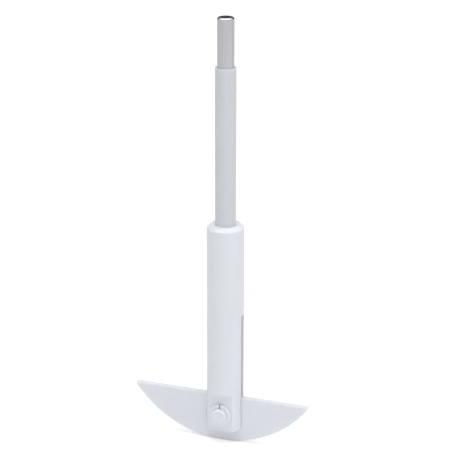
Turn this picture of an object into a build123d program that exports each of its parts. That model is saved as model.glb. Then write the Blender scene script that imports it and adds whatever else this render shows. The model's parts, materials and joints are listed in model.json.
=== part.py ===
from build123d import *

import os
from math import hypot, sqrt

# Stirrer shaft with a folding crescent blade, for an overhead laboratory stirrer.
# A stainless rod runs inside a white PTFE sleeve. Its bare upper end goes into the
# stirrer's chuck. A slotted PTFE hub on the lower end carries the blade on a PTFE
# pin, which has a head behind and a split ring in front. The blade folds up along
# the shaft, so that it passes through a flask's neck.
# Millimetres. The origin is on the shaft's axis, at the shoulder where the sleeve
# starts, +Z runs up to the chuck end, X lies along the blade and Y along the pin,
# with the split ring on the -Y side.

# Rod: the chuck end is a little thicker than the rest, and the sleeve butts under it
chuck_diameter = 8.0
chuck_length = 23.3
rod_diameter = 7.6
rod_end_radius = 1.0
rod_foot_chamfer = 0.5

# Sleeve on the rod
sleeve_wall = 1.18
sleeve_exposed = 76.0
sleeve_edge = 0.2
sleeve_mouth = 0.4

# Hub: the rod and the sleeve are seated in its upper end, the slot opens its lower end
hub_diameter = 18.0
hub_shoulder_chamfer = 1.5
hub_foot_edge = 0.15
sleeve_seat = 12.0
rod_seat = 35.0
slot_roof_web = 10.0
pin_height = 8.5
flat_above_ring = 5.4
flat_beside_ring = 0.4

# Blade: a segment of a disc, hung off its middle
blade_length = 90.6
blade_height = 24.0
blade_thickness = 3.0
blade_tip_radius = 0.2
blade_edge = 0.1
pin_below_blade_top = 8.0
blade_offset = 2.0

# Pin and split ring
pin_diameter = 7.6
pin_end_length = 1.8
pin_end_chamfer = 0.7
pin_head_diameter = 11.2
pin_head_thickness = 1.6
groove_depth = 0.95
ring_width = 2.65
ring_thickness = 1.6
ring_gap = 0.8
rim_chamfer = 0.5

# Clearances, each on one side
rod_fit = 0.02
sleeve_fit = 0.02
seat_end_gap = 0.05
pin_fit = 0.04
blade_running_fit = 0.08
blade_side_gap = 0.3
blade_swing_gap = 3.5
ring_fit = 0.05

# What follows from them
chuck_radius = chuck_diameter / 2
rod_radius = rod_diameter / 2
sleeve_bore_radius = rod_radius + rod_fit
sleeve_radius = sleeve_bore_radius + sleeve_wall
hub_radius = hub_diameter / 2
pin_radius = pin_diameter / 2
groove_radius = pin_radius - groove_depth
ring_bore_radius = groove_radius + ring_fit
ring_radius = ring_bore_radius + ring_width
rim_radius = max(ring_radius, pin_head_diameter / 2)

blade_reach = hypot(blade_length / 2 + blade_offset, pin_below_blade_top)
slot_depth = pin_height + blade_reach + blade_swing_gap
slot_width = blade_thickness + 2 * blade_side_gap
hub_length = rod_seat + slot_roof_web + slot_depth

hub_top = -sleeve_exposed
hub_bottom = hub_top - hub_length
sleeve_foot = hub_top - sleeve_seat + seat_end_gap
rod_foot = hub_top - rod_seat + seat_end_gap
pin_z = hub_bottom + pin_height
blade_top = pin_z + pin_below_blade_top

flat_top = pin_z + rim_radius + flat_above_ring
flat_y = sqrt(hub_radius ** 2 - (rim_radius + flat_beside_ring) ** 2)
ring_face = flat_y + ring_thickness
pin_end = ring_face + ring_fit + pin_end_length


def turned(profile):
    """Solid turned about Z from a closed outline of (radius, height) points."""
    return revolve(make_face(Plane.XZ * Polyline(*profile, close=True)), Axis.Z)


def across(shape):
    """Lay a solid built along Z across the hub: its top faces -Y, its +Y side faces up."""
    return Pos(0, 0, pin_z) * Rot(90, 0, 0) * shape


def make_core_rod():
    """Ground rod with a rounded chuck end, relieved under the sleeve, with a lead-in at its foot."""
    rod = turned([
        (0, rod_foot),
        (rod_radius - rod_foot_chamfer, rod_foot),
        (rod_radius, rod_foot + rod_foot_chamfer),
        (rod_radius, 0),
        (chuck_radius, 0),
        (chuck_radius, chuck_length),
        (0, chuck_length),
    ])
    end_rim = rod.edges().filter_by(GeomType.CIRCLE).sort_by(Axis.Z)[-1]
    return fillet(end_rim, rod_end_radius)


def make_shaft_sleeve():
    """Thin tube on the rod, with its outer edge broken and its mouth countersunk at the shoulder."""
    return turned([
        (sleeve_bore_radius, sleeve_foot),
        (sleeve_radius, sleeve_foot),
        (sleeve_radius, -sleeve_edge),
        (sleeve_radius - sleeve_edge, 0),
        (sleeve_bore_radius + sleeve_mouth, 0),
        (sleeve_bore_radius, -sleeve_mouth),
    ])


def hub_blank():
    """Turned bar with a chamfered shoulder and the stepped blind bore for the shaft."""
    sleeve_hole = sleeve_radius + sleeve_fit
    rod_hole = rod_radius + rod_fit
    return turned([
        (sleeve_hole, hub_top),
        (hub_radius - hub_shoulder_chamfer, hub_top),
        (hub_radius, hub_top - hub_shoulder_chamfer),
        (hub_radius, hub_bottom + hub_foot_edge),
        (hub_radius - hub_foot_edge, hub_bottom),
        (0, hub_bottom),
        (0, hub_top - rod_seat),
        (rod_hole, hub_top - rod_seat),
        (rod_hole, hub_top - sleeve_seat),
        (sleeve_hole, hub_top - sleeve_seat),
    ])


def hub_slot():
    """Slot for the blade, milled right across the hub, with a round roof."""
    outline = Plane.YZ * Pos(0, hub_bottom) * SlotOverall(2 * slot_depth, slot_width, rotation=90)
    return extrude(outline, amount=hub_diameter, both=True)


def hub_flat(side):
    """Step milled off one side of the hub's foot, where the ring or the pin's head sits."""
    height = flat_top - hub_bottom
    return Pos(0, side * flat_y, hub_bottom) * Box(
        2 * hub_diameter, hub_radius, 2 * height,
        align=(Align.CENTER, Align.MIN if side > 0 else Align.MAX, Align.CENTER),
    )


def make_blade_hub():
    """Hub with its slot, its front and back flats and the hole for the pin."""
    pin_hole = across(Cylinder(pin_radius + pin_fit, 2 * hub_diameter))
    return hub_blank() - hub_slot() - hub_flat(-1) - hub_flat(1) - pin_hole


def make_crescent_blade():
    """Segment of a disc with its straight edge up, pierced off its middle for the pin."""
    left = -blade_length / 2 - blade_offset
    right = blade_length / 2 - blade_offset
    chord = Line((left, blade_top), (right, blade_top))
    bow = ThreePointArc((left, blade_top), (-blade_offset, blade_top - blade_height), (right, blade_top))
    outline = make_face(chord + bow)
    outline = fillet(outline.vertices(), blade_tip_radius)
    plate = extrude(Plane.XZ * outline, amount=blade_thickness / 2, both=True)
    plate = chamfer(plate.faces().filter_by(Axis.Y).edges(), blade_edge)
    return plate - across(Cylinder(pin_radius + blade_running_fit, 2 * blade_thickness))


def make_pivot_pin():
    """Turned pin: head at the back, groove for the split ring, chamfered end in front."""
    head_radius = pin_head_diameter / 2
    return across(turned([
        (0, -flat_y - pin_head_thickness),
        (head_radius - rim_chamfer, -flat_y - pin_head_thickness),
        (head_radius, -flat_y - pin_head_thickness + rim_chamfer),
        (head_radius, -flat_y),
        (pin_radius, -flat_y),
        (pin_radius, flat_y),
        (groove_radius, flat_y),
        (groove_radius, ring_face + ring_fit),
        (pin_radius, ring_face + ring_fit),
        (pin_radius, pin_end - pin_end_chamfer),
        (pin_radius - pin_end_chamfer, pin_end),
        (0, pin_end),
    ]))


def make_retaining_ring():
    """Split ring sprung into the pin's groove, flat on the hub, with its gap upwards."""
    band = turned([
        (ring_bore_radius, flat_y),
        (ring_radius, flat_y),
        (ring_radius, ring_face - rim_chamfer),
        (ring_radius - rim_chamfer, ring_face),
        (ring_bore_radius, ring_face),
    ])
    split = Pos(0, ring_radius, flat_y) * Box(ring_gap, 2 * ring_radius, 4 * ring_thickness)
    return across(band - split)


pieces = {
    "core_rod": make_core_rod(),
    "shaft_sleeve": make_shaft_sleeve(),
    "blade_hub": make_blade_hub(),
    "crescent_blade": make_crescent_blade(),
    "pivot_pin": make_pivot_pin(),
    "retaining_ring": make_retaining_ring(),
}

os.makedirs("parts", exist_ok=True)
for name, piece in pieces.items():
    export_step(piece, f"parts/{name}.step")
print(f"hub {hub_length:.2f} long, slot {slot_depth:.2f} deep, flats {flat_y:.2f} from the axis")
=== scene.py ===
"""Looks for a stirrer shaft with a folding crescent blade.

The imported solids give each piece's place and outer size, and the fields of the classes
give its bores, chamfers and edges. Each piece is made again as a fine closed mesh with
broken edges: the turned ones by geometry nodes that work as a lathe does, the blade from
points along its rim. Each surface gets the finish that its making leaves, and a plain
pale studio stands round the object.
"""

import json
import logging
import math
from dataclasses import dataclass, field
from enum import Enum
from typing import Any, ClassVar

import bmesh
import bpy
from mathutils import Matrix, Vector
from mathutils.geometry import tessellate_polygon

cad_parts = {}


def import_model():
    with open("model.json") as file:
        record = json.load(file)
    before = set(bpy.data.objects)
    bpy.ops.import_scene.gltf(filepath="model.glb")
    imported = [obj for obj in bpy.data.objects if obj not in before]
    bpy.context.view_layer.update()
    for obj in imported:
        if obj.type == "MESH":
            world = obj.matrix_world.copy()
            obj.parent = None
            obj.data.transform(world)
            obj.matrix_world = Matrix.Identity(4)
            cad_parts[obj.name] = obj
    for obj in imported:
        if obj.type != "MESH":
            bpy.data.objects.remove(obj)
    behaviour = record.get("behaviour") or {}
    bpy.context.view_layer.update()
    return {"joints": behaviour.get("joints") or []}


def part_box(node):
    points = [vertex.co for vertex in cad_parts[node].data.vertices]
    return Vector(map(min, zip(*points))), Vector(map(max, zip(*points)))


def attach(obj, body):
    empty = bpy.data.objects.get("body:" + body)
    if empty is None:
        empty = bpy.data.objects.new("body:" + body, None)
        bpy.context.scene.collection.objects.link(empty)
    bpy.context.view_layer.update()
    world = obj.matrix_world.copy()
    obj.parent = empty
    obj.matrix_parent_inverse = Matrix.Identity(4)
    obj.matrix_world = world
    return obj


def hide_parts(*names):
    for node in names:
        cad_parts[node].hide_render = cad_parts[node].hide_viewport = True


LOG = logging.getLogger("stirrer_shaft")
MM = 0.001
WELD = 0.002 * MM
SHARP = math.radians(30)
RIGHT_ANGLE = math.radians(90)
CORNER = "corner_radius"
BAR_WHITE = "#E4E7EC"
TUBE_WHITE = "#D4D7DC"
PLAIN_WHITE = "#FFFFFF"

Colour = tuple[float, float, float, float]
Socket = bpy.types.NodeSocket


class Axis(Enum):
    """Axis that a piece is turned about, as the turn that brings it onto +Z."""

    SHAFT = (0.0, 0.0, 0.0)
    PIN = (-RIGHT_ANGLE, 0.0, 0.0)


class Side(Enum):
    """Side of the hub, as its sign along Y. The split ring sits in front."""

    FRONT = -1.0
    BACK = 1.0


class LinesAlong(Enum):
    """Way that a finish's long lines run, as the index of their axis."""

    BLADE = 0
    SHAFT = 2


def linear(hex_colour: str) -> Colour:
    """Turn an sRGB hex colour into linear RGBA, by the sRGB standard's own curve.

    Args:
        hex_colour: A hash and six hex digits.

    Returns:
        Linear red, green and blue, and an alpha of one.
    """
    channels = [int(hex_colour[i:i + 2], 16) / 255 for i in (1, 3, 5)]
    red, green, blue = (c / 12.92 if c <= 0.04045 else ((c + 0.055) / 1.055) ** 2.4
                        for c in channels)
    return (red, green, blue, 1.0)


def shade(colour: Colour, share: float) -> Colour:
    """Scale a linear colour and leave its alpha."""
    return (colour[0] * share, colour[1] * share, colour[2] * share, colour[3])


def add(tree: bpy.types.NodeTree, kind: str, settings: dict[str, Any] | None = None,
        **inputs: Any) -> bpy.types.Node:
    """Add one node with its settings, and set or link its inputs.

    Args:
        tree: Shader or geometry tree that gets the node.
        kind: The node's type name.
        settings: Properties of the node itself.
        inputs: Values or output sockets by input name, with underscores for spaces. A
            key that ends in a number is the input at that index. A list of sockets
            goes into an input that takes several.

    Returns:
        The new node.
    """
    node = tree.nodes.new(kind)
    for key, value in (settings or {}).items():
        setattr(node, key, value)
    for key, value in inputs.items():
        stem, _, index = key.rpartition("_")
        place = int(index) if stem and index.isdigit() else key.replace("_", " ")
        for one in value if isinstance(value, list) else [value]:
            if isinstance(one, Socket):
                tree.links.new(one, node.inputs[place])
            else:
                node.inputs[place].default_value = one
    return node


def link_object(name: str, data: Any) -> bpy.types.Object:
    """Make an object for some data and put it in the scene.

    Args:
        name: The object's name.
        data: Mesh, camera or lamp that it shows.

    Returns:
        The object.
    """
    made = bpy.data.objects.new(name, data)
    bpy.context.scene.collection.objects.link(made)
    return made


def freeze(piece: bpy.types.Object) -> bpy.types.Object:
    """Turn a piece's modifiers into its mesh, with its faces outwards.

    Args:
        piece: Object whose modifiers are live.

    Returns:
        The same object, with a plain mesh.
    """
    graph = bpy.context.evaluated_depsgraph_get()
    mesh = bpy.data.meshes.new_from_object(piece.evaluated_get(graph))
    piece.modifiers.clear()
    shell = bmesh.new()
    shell.from_mesh(mesh)
    bmesh.ops.recalc_face_normals(shell, faces=shell.faces)
    shell.to_mesh(mesh)
    shell.free()
    piece.data = mesh
    mesh.name = piece.name
    return piece


class GeometryTree:
    """A geometry-node tree with named inputs, which runs on a mesh and is then baked."""

    def __init__(self, name: str, inputs: dict[str, str]) -> None:
        """Start a tree.

        Args:
            name: The tree's name.
            inputs: Socket type by input name, beside the geometry and the material.
        """
        self.tree = bpy.data.node_groups.new(name, "GeometryNodeTree")
        face = self.tree.interface
        face.new_socket("Outline", in_out="INPUT", socket_type="NodeSocketGeometry")
        for label, kind in inputs.items():
            face.new_socket(label, in_out="INPUT", socket_type=kind)
        face.new_socket("Finish", in_out="INPUT", socket_type="NodeSocketMaterial")
        face.new_socket("Piece", in_out="OUTPUT", socket_type="NodeSocketGeometry")
        self.given = self.tree.nodes.new("NodeGroupInput").outputs

    def add(self, kind: str, settings: dict[str, Any] | None = None, **inputs: Any) -> Any:
        """Add one geometry node, named without its prefix, and return its outputs."""
        return add(self.tree, "GeometryNode" + kind, settings, **inputs).outputs

    def maths(self, operation: str, first: Any, second: Any) -> Socket:
        """Add one sum on two numbers and return its result."""
        return add(self.tree, "ShaderNodeMath", {"operation": operation},
                   Value_0=first, Value_1=second).outputs["Value"]

    def vector(self, x: Any = 0.0, y: Any = 0.0, z: Any = 0.0) -> Socket:
        """Join three numbers into a vector."""
        return add(self.tree, "ShaderNodeCombineXYZ", X=x, Y=y, Z=z).outputs["Vector"]

    def close(self, mesh: Socket) -> None:
        """End the tree: weld, shade by angle, realize, set the finish and output it.

        Args:
            mesh: The piece's mesh.
        """
        welded = self.add("MergeByDistance", Geometry=mesh, Distance=WELD)["Geometry"]
        bend = self.add("InputMeshEdgeAngle")["Unsigned Angle"]
        soft = add(self.tree, "FunctionNodeCompare", {"operation": "LESS_THAN"}, A=bend, B=SHARP)
        faces = self.add("SetShadeSmooth", Geometry=welded, Shade_Smooth=True)["Geometry"]
        edges = self.add("SetShadeSmooth", {"domain": "EDGE"}, Geometry=faces,
                         Shade_Smooth=soft.outputs["Result"])["Geometry"]
        real = self.add("RealizeInstances", Geometry=edges)["Geometry"]
        dressed = self.add("SetMaterial", Geometry=real, Material=self.given["Finish"])
        add(self.tree, "NodeGroupOutput", Piece=dressed["Geometry"])

    def bake(self, name: str, outline: bpy.types.Mesh, finish: bpy.types.Material,
             sizes: dict[str, Any]) -> bpy.types.Object:
        """Run the tree on an outline and keep the result as a plain mesh.

        Args:
            name: The piece's name.
            outline: Mesh that the tree starts from.
            finish: The piece's material.
            sizes: Values by input name.

        Returns:
            The piece, at the origin, with no modifier.
        """
        piece = link_object(name, outline)
        modifier = piece.modifiers.new("build", "NODES")
        modifier.node_group = self.tree
        sockets = (s for s in self.tree.interface.items_tree if s.in_out == "INPUT")
        labels = {s.name: s.identifier for s in sockets}
        modifier[labels["Finish"]] = finish
        for label, value in sizes.items():
            modifier[labels[label]] = value
        return freeze(piece)


@dataclass
class Outline:
    """Half section of a turned piece: corners as radius, height and rounding, in metres."""

    closed: bool
    corners: list[tuple[float, float, float]] = field(default_factory=list)
    guard: ClassVar[float] = 0.12 * MM

    def corner(self, radius: float, height: float, rounding: float = 0.0) -> "Outline":
        """Add the next corner and return the outline."""
        self.corners.append((radius, height, rounding))
        return self

    def guarded(self) -> list[tuple[float, float, float]]:
        """Corners with a plain point close on each side of every rounding.

        The points hold the shading of the long walls flat beside the broken edges.

        Returns:
            Radius, height and rounding of each point in order.
        """
        points = []
        count = len(self.corners)
        for i, (radius, height, rounding) in enumerate(self.corners):
            if rounding == 0:
                points.append((radius, height, 0.0))
                continue
            here = Vector((radius, height))
            before = Vector(self.corners[i - 1][:2]) - here
            after = Vector(self.corners[(i + 1) % count][:2]) - here
            reach = rounding / math.tan(before.angle(after) / 2) + self.guard
            first, last = (here + way.normalized() * reach for way in (before, after))
            if before.length > 2 * reach:
                points.append((first.x, first.y, 0.0))
            points.append((radius, height, rounding))
            if after.length > 2 * reach:
                points.append((last.x, last.y, 0.0))
        return points

    def mesh(self, name: str) -> bpy.types.Mesh:
        """Make the outline's edges as a mesh, in the XZ plane.

        Args:
            name: The mesh's name.

        Returns:
            The mesh, with each point's rounding as an attribute.
        """
        points = self.guarded()
        edges = [(i, i + 1) for i in range(len(points) - 1)]
        if self.closed:
            edges.append((len(points) - 1, 0))
        mesh = bpy.data.meshes.new(name)
        mesh.from_pydata([(radius, 0, height) for radius, height, _ in points], edges, [])
        rounding = mesh.attributes.new(CORNER, "FLOAT", "POINT")
        rounding.data.foreach_set("value", [r for _, _, r in points])
        return mesh


class TurnedTree(GeometryTree):
    """Rounds an outline's corners and turns it about an axis, as a lathe would."""

    SEGMENTS: ClassVar[int] = 144
    CORNER_STEPS: ClassVar[int] = 6
    SWING: ClassVar[float] = 20 * MM

    def __init__(self, name: str, inputs: dict[str, str] | None = None) -> None:
        """Start a tree with the blank in it.

        Args:
            name: The tree's name.
            inputs: Further inputs, as in GeometryTree.
        """
        super().__init__(name, {"Segments": "NodeSocketInt", "Place": "NodeSocketVector",
                                "Turn": "NodeSocketVector", **(inputs or {})})
        section = self.add("MeshToCurve", Mesh=self.given["Outline"])["Curve"]
        rounding = self.add("InputNamedAttribute", {"data_type": "FLOAT"}, Name=CORNER)
        section = self.add("FilletCurve", {"mode": "POLY"}, Curve=section,
                           Count=self.CORNER_STEPS, Radius=rounding["Attribute"])["Curve"]
        section = self.add("Transform", Geometry=section, Translation=(-self.SWING, 0, 0),
                           Rotation=(RIGHT_ANGLE, 0, 0))["Geometry"]
        path = self.add("CurvePrimitiveCircle", Resolution=self.given["Segments"],
                        Radius=self.SWING)["Curve"]
        blank = self.add("CurveToMesh", Curve=path, Profile_Curve=section)["Mesh"]
        self.blank = self.add("MergeByDistance", Geometry=blank, Distance=WELD)["Geometry"]

    def cut(self, cutters: list[Socket]) -> Socket:
        """Take the cutters away from the blank."""
        return self.add("MeshBoolean", {"operation": "DIFFERENCE", "solver": "EXACT"},
                        Mesh_0=self.blank, Mesh_1=cutters)["Mesh"]

    def lay(self, mesh: Socket) -> Socket:
        """Turn a mesh from the lathe's axis to the piece's and move it to its place."""
        return self.add("Transform", Geometry=mesh, Translation=self.given["Place"],
                        Rotation=self.given["Turn"])["Geometry"]

    def turn(self, name: str, outline: Outline, finish: bpy.types.Material, place: Vector,
             axis: Axis, **sizes: float) -> bpy.types.Object:
        """Bake a piece.

        Args:
            name: The piece's name.
            outline: Its half section.
            finish: Its material.
            place: A point on its axis, from which the outline's heights are counted.
            axis: The axis that it is turned about.
            sizes: Values of the tree's further inputs, with underscores for spaces.

        Returns:
            The piece.
        """
        given = {"Segments": self.SEGMENTS, "Place": tuple(place),
                 "Turn": tuple(-angle for angle in axis.value)}
        given.update({label.replace("_", " "): value for label, value in sizes.items()})
        return self.bake(name, outline.mesh(name), finish, given)


class PlainTurning(TurnedTree):
    """Turned piece with nothing cut from it."""

    def __init__(self) -> None:
        """Build the tree."""
        super().__init__("plain_turning")
        self.close(self.lay(self.blank))


class SplitTurning(TurnedTree):
    """Turned ring with a gap sawn through it, on its own +Y side."""

    def __init__(self) -> None:
        """Build the tree."""
        super().__init__("split_turning", {"Gap": "NodeSocketFloat"})
        size = self.vector(self.given["Gap"], self.SWING, self.SWING)
        saw = self.add("MeshCube", Size=size)["Mesh"]
        saw = self.add("Transform", Geometry=saw, Translation=(0, self.SWING / 2, 0))["Geometry"]
        self.close(self.lay(self.cut([saw])))


class HubTurning(TurnedTree):
    """Turned bar with a round-roofed slot, two flats and a cross hole cut in its foot."""

    SIZES: ClassVar[tuple[str, ...]] = (
        "Foot", "Slot Width", "Slot Depth", "Flat Offset", "Flat Height", "Hole Radius",
        "Hole Height")
    ROOF_STEPS: ClassVar[int] = 16
    # Just under half the slot's width, so that the roof's two fillets don't meet.
    ROOF_ROUND: ClassVar[float] = 0.499
    DRILL_SEGMENTS: ClassVar[int] = 96

    def __init__(self) -> None:
        """Build the tree."""
        super().__init__("hub_turning", {name: "NodeSocketFloat" for name in self.SIZES})
        cutters = [self.slot(), self.flat(Side.BACK), self.flat(Side.FRONT), self.hole()]
        self.close(self.lay(self.cut(cutters)))

    def slot(self) -> Socket:
        """Make the cutter for the slot: a bar along X with a round top, from below the foot.

        Returns:
            Its mesh.
        """
        width, depth = self.given["Slot Width"], self.given["Slot Depth"]
        outline = self.add("CurvePrimitiveQuadrilateral",
                           Width=self.maths("MULTIPLY", depth, 2.0), Height=width)["Curve"]
        rounded = self.add("FilletCurve", {"mode": "POLY"}, Curve=outline, Count=self.ROOF_STEPS,
                           Radius=self.maths("MULTIPLY", width, self.ROOF_ROUND))["Curve"]
        path = self.add("CurvePrimitiveLine", Start=(0, 0, -self.SWING),
                        End=(0, 0, self.SWING))["Curve"]
        bar = self.add("CurveToMesh", Curve=path, Profile_Curve=rounded, Fill_Caps=True)["Mesh"]
        return self.add("Transform", Geometry=bar, Rotation=(0, RIGHT_ANGLE, 0),
                        Translation=self.vector(z=self.given["Foot"]))["Geometry"]

    def flat(self, side: Side) -> Socket:
        """Make the cutter for the flat on one side.

        Args:
            side: The side.

        Returns:
            Its mesh.
        """
        height = self.maths("MULTIPLY", self.given["Flat Height"], 2.0)
        size = self.vector(2 * self.SWING, self.SWING, height)
        block = self.add("MeshCube", Size=size)["Mesh"]
        middle = self.maths("ADD", self.given["Flat Offset"], self.SWING / 2)
        place = self.vector(y=self.maths("MULTIPLY", middle, side.value), z=self.given["Foot"])
        return self.add("Transform", Geometry=block, Translation=place)["Geometry"]

    def hole(self) -> Socket:
        """Make the cutter for the pin's hole, along Y."""
        drill = self.add("MeshCylinder", Vertices=self.DRILL_SEGMENTS,
                         Radius=self.given["Hole Radius"], Depth=2 * self.SWING)["Mesh"]
        return self.add("Transform", Geometry=drill, Rotation=(RIGHT_ANGLE, 0, 0),
                        Translation=self.vector(z=self.given["Hole Height"]))["Geometry"]


def new_material(name: str) -> tuple[bpy.types.Material, bpy.types.Node]:
    """Make a node material that holds one Principled shader.

    Args:
        name: The material's name.

    Returns:
        The material and its Principled node.
    """
    material = bpy.data.materials.new(name)
    material.use_nodes = True
    return material, material.node_tree.nodes["Principled BSDF"]


def lathe_coordinates(tree: bpy.types.NodeTree, axis: Axis,
                      centre: Vector) -> tuple[Socket, Socket]:
    """Place of a point on the lathe that turned its piece.

    Args:
        tree: The material's tree.
        axis: The axis that the piece was turned about.
        centre: A point on that axis.

    Returns:
        The place in the lathe's frame, and height plus radius, which grows along a
        turned wall and across a faced end alike.
    """
    place = add(tree, "ShaderNodeTexCoord").outputs["Object"]
    moved = add(tree, "ShaderNodeVectorMath", {"operation": "SUBTRACT"},
                Vector_0=place, Vector_1=centre)
    turned = add(tree, "ShaderNodeVectorRotate", {"rotation_type": "EULER_XYZ"},
                 Vector=moved.outputs["Vector"], Rotation=axis.value)
    parts = add(tree, "ShaderNodeSeparateXYZ", Vector=turned.outputs["Vector"])
    flat = add(tree, "ShaderNodeCombineXYZ", X=parts.outputs["X"], Y=parts.outputs["Y"])
    radius = add(tree, "ShaderNodeVectorMath", {"operation": "LENGTH"},
                 Vector_0=flat.outputs["Vector"])
    along = add(tree, "ShaderNodeMath", {"operation": "ADD"},
                Value_0=parts.outputs["Z"], Value_1=radius.outputs["Value"])
    return turned.outputs["Vector"], along.outputs["Value"]


@dataclass(frozen=True)
class Ptfe:
    """What all the PTFE pieces share: a waxy white that light enters a little way.

    Faint clouds darken the tone slightly at random, and the tool's marks add painted shade to
    it, standing for the light their relief catches; half each.
    """

    name: str
    tone: str
    roughness: float = 0.38
    gloss_swing: float = 0.05
    refraction: float = 1.35
    cloud_mm: float = 9.0
    cloud_detail: float = 3.0
    tone_share: float = 0.955
    painted_mark_shade: float = 0.5
    mark_span: tuple[float, float] = (0.3, 0.7)
    bleed_mm: float = 2.0
    bleed_share: float = 0.4
    bleed_by_colour: tuple[float, float, float] = (1.0, 1.0, 1.0)

    def wax(self, tree: bpy.types.NodeTree, shader: bpy.types.Node, place: Socket,
            marks: Socket, height_mm: float) -> None:
        """Set the colour, gloss and relief.

        Args:
            tree: The material's tree.
            shader: Its Principled node.
            place: Place that the faint clouds follow.
            marks: Tool marks, from 0 to 1.
            height_mm: Height of the tool marks.
        """
        tone = linear(self.tone)
        clouds = add(tree, "ShaderNodeTexNoise", Vector=place, Scale=1 / (self.cloud_mm * MM),
                     Detail=self.cloud_detail)
        lines = add(tree, "ShaderNodeMapRange", Value=marks, From_Min=self.mark_span[0],
                    From_Max=self.mark_span[1]).outputs["Result"]
        # The marks' half of the tone change is painted shade of their relief; the clouds' half
        # is the bar's own random tone.
        mixed = add(tree, "ShaderNodeMix", Factor=self.painted_mark_shade,
                    A=clouds.outputs["Fac"], B=lines)
        colour = add(tree, "ShaderNodeMix", {"data_type": "RGBA"},
                     Factor=mixed.outputs["Result"],
                     Input_6=tone, Input_7=shade(tone, self.tone_share))
        gloss = add(tree, "ShaderNodeMapRange", Value=lines,
                    To_Min=self.roughness - self.gloss_swing,
                    To_Max=self.roughness + self.gloss_swing)
        relief = add(tree, "ShaderNodeBump", Strength=1.0, Distance=height_mm * MM, Height=lines)
        tree.links.new(colour.outputs[2], shader.inputs["Base Color"])
        tree.links.new(gloss.outputs["Result"], shader.inputs["Roughness"])
        tree.links.new(relief.outputs["Normal"], shader.inputs["Normal"])
        shader.inputs["IOR"].default_value = self.refraction
        shader.inputs["Subsurface Weight"].default_value = self.bleed_share
        shader.inputs["Subsurface Radius"].default_value = self.bleed_by_colour
        shader.inputs["Subsurface Scale"].default_value = self.bleed_mm * MM


@dataclass(frozen=True)
class TurnedPtfe(Ptfe):
    """PTFE bar turned on a lathe."""

    axis: Axis = Axis.SHAFT
    centre: tuple[float, float, float] = (0.0, 0.0, 0.0)
    ring_pitch_mm: float = 0.6
    ring_height_mm: float = 0.006
    ring_detail: float = 1.0

    def material(self) -> bpy.types.Material:
        """Build the finish.

        Returns:
            The material.
        """
        # Turned PTFE: the eye sees satin white with a broad soft highlight, crossed by the
        # tool's faint rings. A real feed is about 0.1 mm, too fine for the render, so the
        # rings are drawn six times as coarse, with a slight painted shade in the tone.
        material, shader = new_material(self.name)
        tree = material.node_tree
        place, along = lathe_coordinates(tree, self.axis, Vector(self.centre))
        rings = add(tree, "ShaderNodeTexNoise", {"noise_dimensions": "1D"}, W=along,
                    Scale=1 / (self.ring_pitch_mm * MM), Detail=self.ring_detail)
        self.wax(tree, shader, place, rings.outputs["Fac"], self.ring_height_mm)
        return material


@dataclass(frozen=True)
class StreakedPtfe(Ptfe):
    """PTFE with long straight lines one way."""

    lines_along: LinesAlong = LinesAlong.SHAFT
    line_width_mm: float = 1.0
    line_length_mm: float = 60.0
    line_height_mm: float = 0.008
    line_detail: float = 2.0

    def material(self) -> bpy.types.Material:
        """Build the finish.

        Returns:
            The material.
        """
        # Streaked PTFE: the eye sees satin white with lines far longer than wide. The
        # classes below say what made them.
        material, shader = new_material(self.name)
        tree = material.node_tree
        place = add(tree, "ShaderNodeTexCoord").outputs["Object"]
        stretch = [1 / (self.line_width_mm * MM)] * 3
        stretch[self.lines_along.value] = 1 / (self.line_length_mm * MM)
        drawn = add(tree, "ShaderNodeMapping", Vector=place, Scale=tuple(stretch))
        lines = add(tree, "ShaderNodeTexNoise", Vector=drawn.outputs["Vector"], Scale=1.0,
                    Detail=self.line_detail)
        # The lines darken the tone a little: painted shade of their relief, as in Ptfe.
        self.wax(tree, shader, place, lines.outputs["Fac"], self.line_height_mm)
        return material


@dataclass(frozen=True)
class ExtrudedPtfe(StreakedPtfe):
    """PTFE tube drawn through a die and shrunk on the rod."""

    # Extruded PTFE tube: the eye sees a smooth, slightly greyer white than the bar,
    # because the steel shows faintly through, with long soft lines from the die. Real
    # lines are about 0.2 mm wide, drawn here five times as coarse to show.


@dataclass(frozen=True)
class SkivedPtfe(StreakedPtfe):
    """PTFE sheet peeled off a billet, then cut to shape."""

    # Skived PTFE sheet: the eye sees flat satin white with faint straight knife lines
    # along the sheet. Real ones are about 0.2 mm apart, drawn five times as coarse here
    # to show.
    lines_along: LinesAlong = LinesAlong.BLADE
    line_length_mm: float = 35.0


@dataclass(frozen=True)
class GroundSteel:
    """Centreless-ground stainless steel."""

    name: str = "ground_stainless"
    tone: str = "#BFC0C3"
    roughness: float = 0.24
    smoother: float = 0.05
    rougher: float = 0.08
    scratch_mm: float = 0.12
    scratch_height_mm: float = 0.0006
    scratch_detail: float = 2.0

    def material(self) -> bpy.types.Material:
        """Build the finish.

        Returns:
            The material.
        """
        # Ground stainless steel: the eye sees an even grey sheen, drawn out round the
        # rod by fine scratches. Real grit leaves them 0.02 mm apart, drawn here six
        # times as coarse.
        material, shader = new_material(self.name)
        tree = material.node_tree
        _, along = lathe_coordinates(tree, Axis.SHAFT, Vector())
        scratches = add(tree, "ShaderNodeTexNoise", {"noise_dimensions": "1D"}, W=along,
                        Scale=1 / (self.scratch_mm * MM),
                        Detail=self.scratch_detail).outputs["Fac"]
        gloss = add(tree, "ShaderNodeMapRange", Value=scratches,
                    To_Min=self.roughness - self.smoother, To_Max=self.roughness + self.rougher)
        relief = add(tree, "ShaderNodeBump", Strength=1.0, Distance=self.scratch_height_mm * MM,
                     Height=scratches)
        shader.inputs["Base Color"].default_value = linear(self.tone)
        shader.inputs["Metallic"].default_value = 1.0
        tree.links.new(gloss.outputs["Result"], shader.inputs["Roughness"])
        tree.links.new(relief.outputs["Normal"], shader.inputs["Normal"])
        return material


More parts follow.
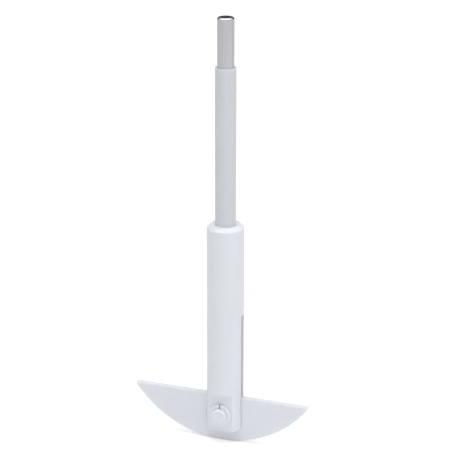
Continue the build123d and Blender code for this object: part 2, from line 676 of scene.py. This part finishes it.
def fit(piece: bpy.types.Object, body: str, node: str) -> None:
    """Put a finished piece on its body, in place of its CAD node.

    Args:
        piece: The piece.
        body: Body that it rides on.
        node: CAD node that it stands for.
    """
    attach(piece, body)
    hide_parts(node)
    LOG.info("%s: %d faces, on %s, for %s", piece.name, len(piece.data.polygons), body, node)


@dataclass
class CoveredRod:
    """Ground rod for the stirrer's chuck, and the tube over it."""

    relieved_radius: float = 3.8 * MM
    end_round: float = 1.0 * MM
    foot_chamfer: float = 0.5 * MM
    tube_bore: float = 3.82 * MM
    tube_edge: float = 0.2 * MM
    tube_mouth: float = 0.4 * MM
    broken_edge: float = 0.05 * MM

    def rod(self, lathe: PlainTurning) -> bpy.types.Object:
        """Turn the rod.

        Args:
            lathe: Tree that turns it.

        Returns:
            The piece.
        """
        low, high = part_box("core_rod")
        relieved, edge = self.relieved_radius, self.broken_edge
        outline = Outline(closed=False)
        outline.corner(0, low.z).corner(relieved - self.foot_chamfer, low.z)
        outline.corner(relieved, low.z + self.foot_chamfer).corner(relieved, 0)
        outline.corner(high.x, 0, edge).corner(high.x, high.z, self.end_round).corner(0, high.z)
        return lathe.turn("ground_rod", outline, GroundSteel().material(), Vector(), Axis.SHAFT)

    def tube(self, lathe: PlainTurning) -> bpy.types.Object:
        """Turn the tube.

        Args:
            lathe: Tree that turns it.

        Returns:
            The piece.
        """
        low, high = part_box("shaft_sleeve")
        finish = ExtrudedPtfe("extruded_ptfe", TUBE_WHITE).material()
        outline = Outline(closed=True)
        outline.corner(self.tube_bore, low.z).corner(high.x, low.z, self.broken_edge)
        outline.corner(high.x, high.z, self.tube_edge)
        outline.corner(self.tube_bore + self.tube_mouth, high.z, self.broken_edge)
        outline.corner(self.tube_bore, high.z - self.tube_mouth)
        return lathe.turn("shaft_tube", outline, finish, Vector(), Axis.SHAFT)

    def build(self) -> None:
        """Build both pieces."""
        lathe = PlainTurning()
        fit(self.rod(lathe), "shaft", "core_rod")
        fit(self.tube(lathe), "shaft", "shaft_sleeve")


@dataclass
class Hub:
    """Slotted bar that holds the shaft above and the blade below."""

    pin_height: float
    shoulder_chamfer: float = 1.5 * MM
    foot_edge: float = 0.12 * MM
    broken_edge: float = 0.08 * MM
    tube_hole: float = 5.02 * MM
    rod_hole: float = 3.82 * MM
    tube_seat: float = 12.0 * MM
    rod_seat: float = 35.0 * MM
    roof_web: float = 10.0 * MM
    slot_width: float = 3.6 * MM
    flat_above_rim: float = 5.4 * MM
    pin_fit: float = 0.04 * MM
    pin_radius: float = 3.8 * MM

    def outline(self, low: Vector, high: Vector) -> Outline:
        """Half section of the bar, with the stepped bore for the shaft.

        Args:
            low: Lowest corner of the hub's box.
            high: Highest corner.

        Returns:
            The section.
        """
        tube_foot, rod_foot = high.z - self.tube_seat, high.z - self.rod_seat
        outline = Outline(closed=False)
        outline.corner(0, low.z).corner(high.x, low.z, self.foot_edge)
        outline.corner(high.x, high.z - self.shoulder_chamfer, self.broken_edge)
        outline.corner(high.x - self.shoulder_chamfer, high.z, self.broken_edge)
        outline.corner(self.tube_hole, high.z).corner(self.tube_hole, tube_foot)
        outline.corner(self.rod_hole, tube_foot).corner(self.rod_hole, rod_foot)
        return outline.corner(0, rod_foot)

    def build(self) -> None:
        """Turn the bar and cut its foot."""
        low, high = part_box("blade_hub")
        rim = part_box("pivot_pin")[1].x
        finish = TurnedPtfe("turned_ptfe", BAR_WHITE).material()
        piece = HubTurning().turn(
            "slotted_hub", self.outline(low, high), finish, Vector(), Axis.SHAFT,
            Foot=low.z, Slot_Width=self.slot_width,
            Slot_Depth=high.z - low.z - self.rod_seat - self.roof_web,
            Flat_Offset=-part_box("retaining_ring")[1].y,
            Flat_Height=self.pin_height + rim + self.flat_above_rim - low.z,
            Hole_Radius=self.pin_radius + self.pin_fit, Hole_Height=self.pin_height)
        fit(piece, "shaft", "blade_hub")


@dataclass
class Blade:
    """Half-moon blade: a segment of a disc, bored off its middle for the pin."""

    pin_height: float
    length: float = 90.6 * MM
    bore: float = 3.88 * MM
    tip_round: float = 0.2 * MM
    edge_round: float = 0.08 * MM
    guard: float = 0.08 * MM
    edge_steps: int = 4
    tip_steps: int = 12
    bow_steps: int = 160
    bore_steps: int = 96

    def arc(self, centre: tuple[float, float], radius: float, start: float, end: float,
            steps: int) -> list[tuple[Vector, Vector]]:
        """Points along an arc in the blade's plane, each with its outward direction.

        Args:
            centre: The arc's centre, as x and z.
            radius: Its radius.
            start: First angle, from +X towards +Z.
            end: Last angle.
            steps: Steps between them.

        Returns:
            Place and direction of each point.
        """
        angles = [start + (end - start) * i / steps for i in range(steps + 1)]
        ways = [Vector((math.cos(angle), 0, math.sin(angle))) for angle in angles]
        return [(Vector((centre[0], 0, centre[1])) + radius * way, way) for way in ways]

    def rim(self) -> list[tuple[Vector, Vector]]:
        """Outline of the blade: right tip, bow, left tip, and the straight edge back.

        Returns:
            Place and outward direction of each point.
        """
        low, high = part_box("crescent_blade")
        middle, height, tip = (low.x + high.x) / 2, high.z - low.z, self.tip_round
        bow = (self.length ** 2 / 4 + height ** 2) / (2 * height)
        drop = bow - height + tip
        reach = math.sqrt((bow - tip) ** 2 - drop ** 2)
        turn = math.atan2(-drop, reach)
        far_turn = -math.pi - turn
        right = self.arc((middle + reach, high.z - tip), tip, RIGHT_ANGLE, turn, self.tip_steps)
        under = self.arc((middle, low.z + bow), bow, turn, far_turn, self.bow_steps)
        left = self.arc((middle - reach, high.z - tip), tip, far_turn, -3 * RIGHT_ANGLE,
                        self.tip_steps)
        return right + under[1:-1] + left

    def hole(self) -> list[tuple[Vector, Vector]]:
        """Outline of the bore, with directions that point into it."""
        around = self.arc((0, self.pin_height), self.bore, 0, 2 * math.pi, self.bore_steps)
        return [(point, -way) for point, way in around[:-1]]

    def stations(self) -> list[tuple[float, float]]:
        """Section over the edge, from the front face to the back.

        Returns:
            Distance in from the outline, and the place along Y, of each station.
        """
        low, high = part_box("crescent_blade")
        half, edge = (high.y - low.y) / 2, self.edge_round
        turns = [RIGHT_ANGLE * i / self.edge_steps for i in range(self.edge_steps + 1)]
        front = [(edge + self.guard, -half)]
        front += [(edge * (1 - math.sin(turn)), -half + edge * (1 - math.cos(turn)))
                  for turn in turns]
        front.append((0.0, -half + edge + self.guard))
        return front + [(inset, -y) for inset, y in reversed(front)]

    def build(self) -> None:
        """Build the plate and dress it."""
        plate = bmesh.new()
        stations = self.stations()
        rings = []
        for outline in (self.rim(), self.hole()):
            loops = [[plate.verts.new(point - way * inset + Vector((0, y, 0)))
                      for point, way in outline] for inset, y in stations]
            for near, far in zip(loops, loops[1:]):
                for i in range(len(near)):
                    j = (i + 1) % len(near)
                    plate.faces.new((near[i], near[j], far[j], far[i]))
            rings.append(loops)
        for end in (0, -1):
            loops = [loop[end] for loop in rings]
            corners = [vert for loop in loops for vert in loop]
            for triangle in tessellate_polygon([[vert.co for vert in loop] for loop in loops]):
                plate.faces.new([corners[i] for i in triangle])
        bmesh.ops.recalc_face_normals(plate, faces=plate.faces)
        mesh = bpy.data.meshes.new("crescent")
        plate.to_mesh(mesh)
        plate.free()
        mesh.shade_smooth()
        mesh.materials.append(SkivedPtfe("skived_ptfe", BAR_WHITE).material())
        fit(link_object("crescent", mesh), "blade", "crescent_blade")


@dataclass
class PinAndRing:
    """Headed pin through the hub and the blade, and the split ring in its groove."""

    pin_height: float
    pin_radius: float = 3.8 * MM
    groove_depth: float = 0.95 * MM
    ring_fit: float = 0.05 * MM
    head_thickness: float = 1.6 * MM
    end_chamfer: float = 0.7 * MM
    rim_chamfer: float = 0.5 * MM
    broken_edge: float = 0.06 * MM
    gap: float = 0.8 * MM

    def pin(self, finish: bpy.types.Material) -> bpy.types.Object:
        """Turn the pin.

        Args:
            finish: Its material.

        Returns:
            The piece.
        """
        low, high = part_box("pivot_pin")
        ring_low, ring_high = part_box("retaining_ring")
        radius, edge = self.pin_radius, self.broken_edge
        groove = radius - self.groove_depth
        outline = Outline(closed=False)
        outline.corner(0, -high.y).corner(high.x - self.rim_chamfer, -high.y, edge)
        outline.corner(high.x, -high.y + self.rim_chamfer, edge)
        outline.corner(high.x, -high.y + self.head_thickness, edge)
        outline.corner(radius, -high.y + self.head_thickness)
        outline.corner(radius, -ring_high.y, edge).corner(groove, -ring_high.y)
        outline.corner(groove, -ring_low.y + self.ring_fit)
        outline.corner(radius, -ring_low.y + self.ring_fit, edge)
        outline.corner(radius, -low.y - self.end_chamfer, edge)
        outline.corner(radius - self.end_chamfer, -low.y, edge).corner(0, -low.y)
        place = Vector((0, 0, self.pin_height))
        return PlainTurning().turn("headed_pin", outline, finish, place, Axis.PIN)

    def ring(self, finish: bpy.types.Material) -> bpy.types.Object:
        """Turn the ring and saw its gap.

        Args:
            finish: Its material.

        Returns:
            The piece.
        """
        low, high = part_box("retaining_ring")
        bore, edge = self.pin_radius - self.groove_depth + self.ring_fit, self.broken_edge
        outline = Outline(closed=True)
        outline.corner(bore, -high.y, edge).corner(high.x, -high.y, edge)
        outline.corner(high.x, -low.y - self.rim_chamfer, edge)
        outline.corner(high.x - self.rim_chamfer, -low.y, edge).corner(bore, -low.y, edge)
        place = Vector((0, 0, self.pin_height))
        return SplitTurning().turn("split_ring", outline, finish, place, Axis.PIN, Gap=self.gap)

    def build(self) -> None:
        """Build both pieces."""
        centre = (0.0, 0.0, self.pin_height)
        finish = TurnedPtfe("pin_ptfe", BAR_WHITE, axis=Axis.PIN, centre=centre).material()
        fit(self.pin(finish), "shaft", "pivot_pin")
        fit(self.ring(finish), "shaft", "retaining_ring")


def looked_at(tree: bpy.types.NodeTree) -> Socket:
    """One for a ray from the camera, from gloss or through glass, and else nothing.

    Args:
        tree: Tree of the world or of a material.

    Returns:
        The number.
    """
    rays = add(tree, "ShaderNodeLightPath").outputs
    seen = add(tree, "ShaderNodeMath", {"operation": "MAXIMUM"},
               Value_0=rays["Is Camera Ray"], Value_1=rays["Is Glossy Ray"]).outputs["Value"]
    return add(tree, "ShaderNodeMath", {"operation": "MAXIMUM"},
               Value_0=seen, Value_1=rays["Is Transmission Ray"]).outputs["Value"]


@dataclass(frozen=True)
class StudioMatt:
    """Dead matt surface of the studio."""

    name: str
    tone: str

    def matt(self) -> tuple[bpy.types.Material, bpy.types.Node]:
        """Make the surface.

        Returns:
            The material and its Principled node.
        """
        material, shader = new_material(self.name)
        shader.inputs["Base Color"].default_value = linear(self.tone)
        shader.inputs["Roughness"].default_value = 1.0
        shader.inputs["Specular IOR Level"].default_value = 0.0
        return material, shader


@dataclass(frozen=True)
class FloorPaper(StudioMatt):
    """Matt paper with a painted glow, a little brighter far from the object than near it."""

    name: str = "floor_paper"
    tone: str = "#F3F3F3"
    glow_near: float = 0.34
    glow_far: float = 0.45
    glow_reach: float = 1.4
    glow_in_gloss: float = 0.2

    def material(self) -> bpy.types.Material:
        """Build the finish.

        Returns:
            The material.
        """
        # Matt paper: the eye sees plain white, with only the shadow where the blade
        # stands. Its painted glow shows only where it is looked at, and lights nothing; it is
        # weaker near the object, so the floor is painted a little darker there.
        material, shader = self.matt()
        tree = material.node_tree
        place = add(tree, "ShaderNodeTexCoord").outputs["Object"]
        away = add(tree, "ShaderNodeVectorMath", {"operation": "LENGTH"}, Vector_0=place)
        # Painted glow: weaker near the object, stronger far off.
        seen = add(tree, "ShaderNodeMapRange", {"interpolation_type": "SMOOTHSTEP"},
                   Value=away.outputs["Value"], From_Max=self.glow_reach,
                   To_Min=self.glow_near, To_Max=self.glow_far)
        mirrored = add(tree, "ShaderNodeMath", {"operation": "MULTIPLY"},
                       Value_0=looked_at(tree), Value_1=self.glow_in_gloss)
        strength = add(tree, "ShaderNodeMix",
                       Factor=add(tree, "ShaderNodeLightPath").outputs["Is Camera Ray"],
                       A=mirrored.outputs["Value"], B=seen.outputs["Result"])
        glow = add(tree, "ShaderNodeEmission", Color=linear(PLAIN_WHITE),
                   Strength=strength.outputs["Result"])
        both = add(tree, "ShaderNodeAddShader", Shader_0=shader.outputs["BSDF"],
                   Shader_1=glow.outputs["Emission"])
        surface = tree.nodes["Material Output"].inputs["Surface"]
        tree.links.new(both.outputs["Shader"], surface)
        return material


@dataclass(frozen=True)
class FlagFelt(StudioMatt):
    """Black felt on the dark board."""

    # Black felt: the eye sees it only as the dark band across the rod's polished end.
    name: str = "flag_felt"
    tone: str = "#191919"

    def material(self) -> bpy.types.Material:
        """Build the finish."""
        return self.matt()[0]


@dataclass(frozen=True)
class Softbox:
    """Soft lamp that faces the object, placed by its turn round the shaft, in degrees."""

    name: str
    turn: float
    reach: float
    height: float
    width: float
    depth: float
    watts: float
    on_matt: bool = True
    in_gloss: bool = False
    shadows: bool = True


@dataclass
class Studio:
    """Plain pale floor, soft light and the camera at the photograph's angle."""

    floor_height: float
    aim_below_shoulder: float = 76.5 * MM
    aim_right: float = -0.23 * MM
    azimuth: float = math.radians(20.2)
    elevation: float = math.radians(19.1)
    roll: float = math.radians(0.083)
    distance: float = 762.6 * MM
    nearest_seen: float = 0.01
    farthest_seen: float = 100.0
    focal_pixels: float = 1611.3
    image_pixels: int = 450
    sensor_mm: float = 36.0
    floor_size: float = 12.0
    fill: float = 0.62
    flag_distance: float = 0.15
    flag_span: float = math.radians(70)
    flag_steps: int = 14
    flag_low: float = 0.03
    flag_high: float = 0.13

    SOFTBOXES: ClassVar[tuple[Softbox, ...]] = (
        Softbox("top_softbox", turn=0, reach=0.165, height=0.85, width=0.6, depth=0.6,
                watts=4.8),
        Softbox("gloss_strip", turn=0, reach=0.155, height=0.8, width=1.5, depth=0.56,
                watts=7.4, on_matt=False, in_gloss=True),
        Softbox("right_softbox", turn=58, reach=0.97, height=-0.03, width=0.6, depth=0.28,
                watts=0.92),
        Softbox("front_fill", turn=0, reach=1.01, height=0.1, width=0.8, depth=0.8,
                watts=0.82, shadows=False),
    )

    def camera(self) -> None:
        """Put the camera where the photograph was taken from."""
        data = bpy.data.cameras.new("camera")
        data.sensor_width = self.sensor_mm
        data.lens = self.focal_pixels * self.sensor_mm / self.image_pixels
        data.clip_start, data.clip_end = self.nearest_seen, self.farthest_seen
        camera = link_object("camera", data)
        level = math.cos(self.elevation)
        right = Vector((math.cos(self.azimuth), math.sin(self.azimuth), 0))
        back = Vector((math.sin(self.azimuth) * level, -math.cos(self.azimuth) * level,
                       math.sin(self.elevation)))
        aim = Vector((0, 0, -self.aim_below_shoulder)) + right * self.aim_right
        facing = (-back).to_track_quat("-Z", "Y").to_matrix().to_4x4()
        spot = Matrix.Translation(aim + back * self.distance)
        camera.matrix_world = spot @ facing @ Matrix.Rotation(self.roll, 4, "Z")
        bpy.context.scene.camera = camera

    def world(self) -> None:
        """White where the camera, gloss and glass look, and an even pale fill elsewhere."""
        world = bpy.data.worlds.new("studio")
        bpy.context.scene.world = world
        world.use_nodes = True
        tree = world.node_tree
        tree.nodes.clear()
        white = linear(PLAIN_WHITE)
        fill = add(tree, "ShaderNodeBackground", Color=white, Strength=self.fill)
        shown = add(tree, "ShaderNodeBackground", Color=white, Strength=1.0)
        mixed = add(tree, "ShaderNodeMixShader", Fac=looked_at(tree),
                    Shader_1=fill.outputs["Background"], Shader_2=shown.outputs["Background"])
        add(tree, "ShaderNodeOutputWorld", Surface=mixed.outputs["Shader"])

    def floor(self) -> None:
        """A wide pale floor at the blade's lowest point."""
        half = self.floor_size / 2
        corners = ((-half, -half), (half, -half), (half, half), (-half, half))
        mesh = bpy.data.meshes.new("floor")
        mesh.from_pydata([(x, y, self.floor_height) for x, y in corners], [], [(0, 1, 2, 3)])
        mesh.materials.append(FloorPaper().material())
        link_object("floor", mesh)

    def flag(self) -> None:
        """A curved dark board behind the rod's end, which only shiny surfaces mirror."""
        steps = self.flag_steps
        turns = [self.flag_span * (2 * i / steps - 1) for i in range(steps + 1)]
        foot = [self.around(math.pi + turn, self.flag_distance, self.flag_low)
                for turn in turns]
        rise = Vector((0, 0, self.flag_high - self.flag_low))
        count = len(foot)
        mesh = bpy.data.meshes.new("dark_flag")
        mesh.from_pydata(foot + [point + rise for point in foot], [],
                         [(i, i + 1, count + i + 1, count + i) for i in range(count - 1)])
        mesh.materials.append(FlagFelt().material())
        board = link_object("dark_flag", mesh)
        board.visible_camera = board.visible_diffuse = board.visible_shadow = False
        board.visible_transmission = False

    def around(self, turn: float, reach: float, height: float) -> Vector:
        """Find a place round the shaft.

        Args:
            turn: Angle from the camera, to the camera's right.
            reach: Distance from the shaft's axis.
            height: Height over the tube's shoulder.

        Returns:
            The place.
        """
        angle = self.azimuth + turn
        return Vector((reach * math.sin(angle), -reach * math.cos(angle), height))

    def hang(self, box: Softbox) -> None:
        """Hang one lamp so that it faces the middle of the object.

        Args:
            box: The lamp.
        """
        data = bpy.data.lights.new(box.name, "AREA")
        data.shape = "RECTANGLE"
        data.size, data.size_y = box.width, box.depth
        data.energy, data.use_shadow = box.watts, box.shadows
        lamp = link_object(box.name, data)
        lamp.visible_diffuse, lamp.visible_glossy = box.on_matt, box.in_gloss
        place = self.around(math.radians(box.turn), box.reach, box.height)
        aim = Vector((0, 0, self.floor_height / 2)) - place
        facing = aim.to_track_quat("-Z", "Y").to_matrix().to_4x4()
        lamp.matrix_world = Matrix.Translation(place) @ facing

    def build(self) -> None:
        """Build the camera, the floor and the light."""
        self.camera()
        self.world()
        self.floor()
        self.flag()
        for box in self.SOFTBOXES:
            self.hang(box)
        bpy.context.scene.view_settings.view_transform = "Standard"
        LOG.info("studio: camera, floor, dark flag and %d lamps", len(self.SOFTBOXES))


def main() -> None:
    """Build the pieces and the studio."""
    logging.basicConfig(level=logging.INFO)
    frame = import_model()
    pin_height = frame["joints"][0]["pos_m"][2]
    CoveredRod().build()
    Hub(pin_height).build()
    Blade(pin_height).build()
    PinAndRing(pin_height).build()
    Studio(floor_height=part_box("crescent_blade")[0].z).build()


if __name__ == "__main__":
    main()
